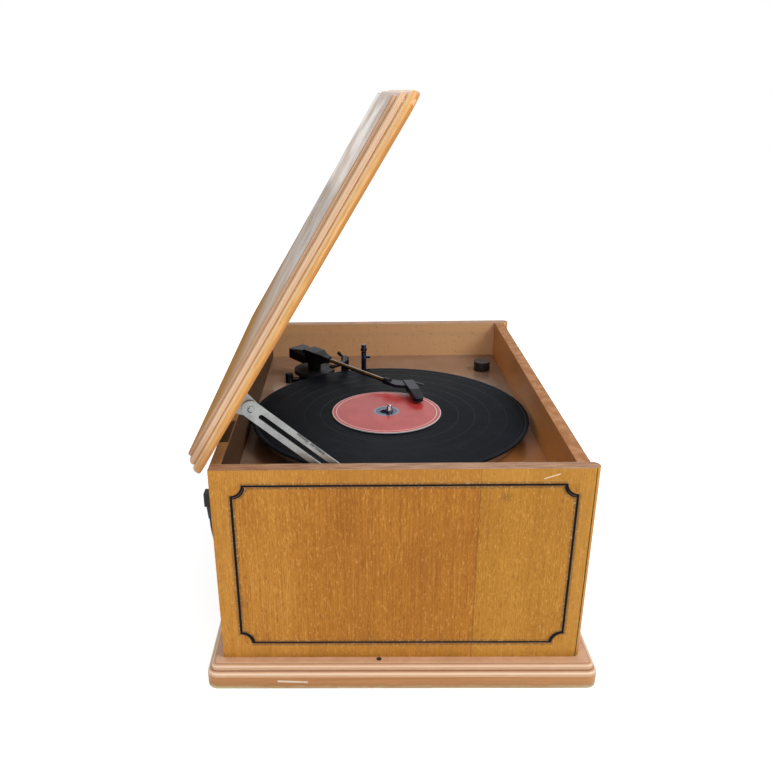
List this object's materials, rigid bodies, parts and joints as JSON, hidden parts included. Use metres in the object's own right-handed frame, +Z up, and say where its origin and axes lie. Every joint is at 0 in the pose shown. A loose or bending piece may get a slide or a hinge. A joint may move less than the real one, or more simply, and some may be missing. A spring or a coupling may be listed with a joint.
{
  "type": "music center",
  "caption": "Wooden tabletop music center with a record player under a hinged lid on a slotted stay, and a radio, loudspeakers and disc drawer in front.",
  "frame": {"origin": "on the floor under the middle of the cabinet, at the underside of the base board", "axes": "+Z up, -Y to the front with the radio dial, +Y to the back where the lid is hinged, +X to the right seen from the front"},
  "size_m": [0.6105, 0.405, 0.5255],
  "materials": {
    "base_wood": "satin lacquer, tan with a pink tinge",
    "side_veneer": "golden brown veneer, satin lacquer",
    "back_board_wood": "plain brown board",
    "rear_board": "brown hardboard",
    "screw_steel": "zinc plated",
    "deck_wood": "brown, glossy lacquer",
    "batten_wood": "plain pale wood",
    "lid_wood": "orange brown wood, glossy lacquer",
    "brass": "brass plated",
    "stay_steel": "grey, slightly stippled",
    "platter_metal": "grey, cast",
    "black_rubber": "matte",
    "record_vinyl": "black with fine grooves, dark blue label",
    "disc_plastic": "red printed face with a thin pale ring",
    "spindle_chrome": "polished",
    "bearing_metal": "plain",
    "motor_steel": "plated",
    "arm_plastic": "black, satin",
    "tube_chrome": "bright",
    "cartridge_plastic": "black",
    "post_plastic": "very dark blue",
    "knob_black": "black",
    "cloth": "brown woven cloth",
    "cone_paper": "dark paper",
    "scale_plastic": "cream with plain dark ticks",
    "pointer_red": "red",
    "clear_glass": "clear",
    "knob_brown": "dark brown",
    "circuit_board": "green",
    "drawer_plastic": "black",
    "iron": "dark grey",
    "cord_rubber": "black",
    "plug_plastic": "black, pins of bare metal"
  },
  "bodies": {
    "cabinet": {"base_board": "base_wood", "side_panel_left": "side_veneer", "side_panel_right": "side_veneer", "front_panel": "side_veneer", "back_panel": "back_board_wood", "rear_cover": "rear_board", "rear_screws": "screw_steel", "motor_board": "deck_wood", "board_battens": "batten_wood", "hinge_lower_leaves": "brass", "hinge_pins": "screw_steel", "stay_wall_plate": "stay_steel", "platter_bearing": "bearing_metal", "turntable_motor": "motor_steel", "drive_belt": "black_rubber", "arm_base": "arm_plastic", "arm_rest_post": "post_plastic", "grille_frames": "base_wood", "grille_cloths": "cloth", "speaker_frames": "motor_steel", "speaker_cones": "cone_paper", "dial_frame": "base_wood", "dial_scale": "scale_plastic", "dial_glass": "clear_glass", "control_board": "circuit_board", "cd_mechanism": "motor_steel", "transformer": "iron", "amplifier_board": "circuit_board", "power_cord_gland": "cord_rubber", "power_cord_run": "cord_rubber", "power_cord_coil": "cord_rubber", "power_plug": "plug_plastic"},
    "lid": {"lid_board": "lid_wood", "hinge_upper_leaves": "brass", "stay_bracket": "stay_steel", "stay_rivet": "stay_steel"},
    "stay_bar": {"stay_arm": "stay_steel"},
    "stay_slider": {"stay_stud": "stay_steel"},
    "turntable": {"platter": "platter_metal", "platter_mat": "black_rubber", "record": "record_vinyl", "compact_disc": "disc_plastic", "spindle": "spindle_chrome"},
    "pulley": {"motor_pulley": "brass"},
    "arm_swivel": {"arm_turret": "arm_plastic"},
    "arm": {"arm_body": "arm_plastic", "arm_tube": "tube_chrome", "headshell": "arm_plastic", "cartridge": "cartridge_plastic"},
    "lift_bar": {"cue_lift_bar": "arm_plastic"},
    "lift_lever": {"cue_lever": "arm_plastic"},
    "rest_clip": {"arm_rest_clip": "arm_plastic"},
    "speed_switch": {"speed_knob": "knob_black"},
    "volume": {"volume_knob": "knob_brown"},
    "tuning": {"tuning_knob": "knob_brown"},
    "pointer": {"dial_pointer": "pointer_red"},
    "play": {"play_button": "knob_brown"},
    "eject": {"eject_button": "knob_brown"},
    "drawer": {"cd_drawer": "drawer_plastic"}
  },
  "joints": [
    {"name": "lid_hinge", "type": "hinge", "parent": "cabinet", "child": "lid", "pos_m": [0, 0.1738, 0.2255], "axis": [-1, 0, 0], "range_deg": [-58.5, 0]},
    {"name": "stay_pivot", "type": "hinge", "parent": "lid", "child": "stay_bar", "pos_m": [-0.2183, 0.13132, 0.27511], "axis": [-1, 0, 0], "range_deg": [0, 88.11]},
    {"name": "stay_stud_slide", "type": "slide", "parent": "stay_bar", "child": "stay_slider", "axis": [0, -0.7718, -0.6359], "range_m": [-0.04659, 0]},
    {"name": "platter_spin", "type": "hinge", "parent": "cabinet", "child": "turntable", "pos_m": [-0.037, 0.005, 0.19], "axis": [0, 0, 1], "continuous": true},
    {"name": "pulley_spin", "type": "hinge", "parent": "cabinet", "child": "pulley", "pos_m": [-0.1236, 0.055, 0.19], "axis": [0, 0, 1], "continuous": true},
    {"name": "arm_swing", "type": "hinge", "parent": "cabinet", "child": "arm_swivel", "pos_m": [0.122, 0.096, 0.2], "axis": [0, 0, 1], "range_deg": [-3, 48]},
    {"name": "arm_lift", "type": "hinge", "parent": "arm_swivel", "child": "arm", "pos_m": [0.122, 0.096, 0.2135], "axis": [-0.7133, 0.7009, 0], "range_deg": [0, 3.2]},
    {"name": "cue_lever_turn", "type": "hinge", "parent": "cabinet", "child": "lift_lever", "pos_m": [0.12895, 0.05661, 0.20159], "axis": [-1, 0, 0], "range_deg": [0, 60]},
    {"name": "cue_bar_lift", "type": "slide", "parent": "cabinet", "child": "lift_bar", "axis": [0, 0, 1], "range_m": [0, 0.0022]},
    {"name": "rest_clip_turn", "type": "hinge", "parent": "cabinet", "child": "rest_clip", "pos_m": [0.133, 0.032, 0.216], "axis": [0, 0, 1], "range_deg": [0, 90]},
    {"name": "speed_turn", "type": "hinge", "parent": "cabinet", "child": "speed_switch", "pos_m": [0.158, -0.126, 0.185], "axis": [0, 0, 1], "range_deg": [-45, 45]},
    {"name": "volume_turn", "type": "hinge", "parent": "cabinet", "child": "volume", "pos_m": [-0.048, -0.17, 0.059], "axis": [0, 1, 0], "range_deg": [-150, 150]},
    {"name": "tuning_turn", "type": "hinge", "parent": "cabinet", "child": "tuning", "pos_m": [0.048, -0.17, 0.059], "axis": [0, 1, 0], "range_deg": [-270, 270]},
    {"name": "pointer_slide", "type": "slide", "parent": "cabinet", "child": "pointer", "axis": [1, 0, 0], "range_m": [-0.0501, 0.0501]},
    {"name": "play_press", "type": "slide", "parent": "cabinet", "child": "play", "axis": [0, 1, 0], "range_m": [0, 0.0025], "stiffness_N_per_m": 300, "springref_m": -0.001},
    {"name": "eject_press", "type": "slide", "parent": "cabinet", "child": "eject", "axis": [0, 1, 0], "range_m": [0, 0.0025], "stiffness_N_per_m": 300, "springref_m": -0.001},
    {"name": "drawer_slide", "type": "slide", "parent": "cabinet", "child": "drawer", "axis": [0, -1, 0], "range_m": [0, 0.13]}
  ],
  "couplings": [
    {"joint": "stay_pivot", "follows": "lid_hinge", "ratio": -1.506},
    {"joint": "stay_stud_slide", "follows": "lid_hinge", "m_per_rad": 0.045611},
    {"joint": "pulley_spin", "follows": "platter_spin", "ratio": 12},
    {"joint": "arm_lift", "follows": "cue_bar_lift", "rad_per_m": 25.382},
    {"joint": "cue_lever_turn", "follows": "cue_bar_lift", "rad_per_m": 475.95},
    {"joint": "pointer_slide", "follows": "tuning_turn", "m_per_rad": 0.01061}
  ]
}
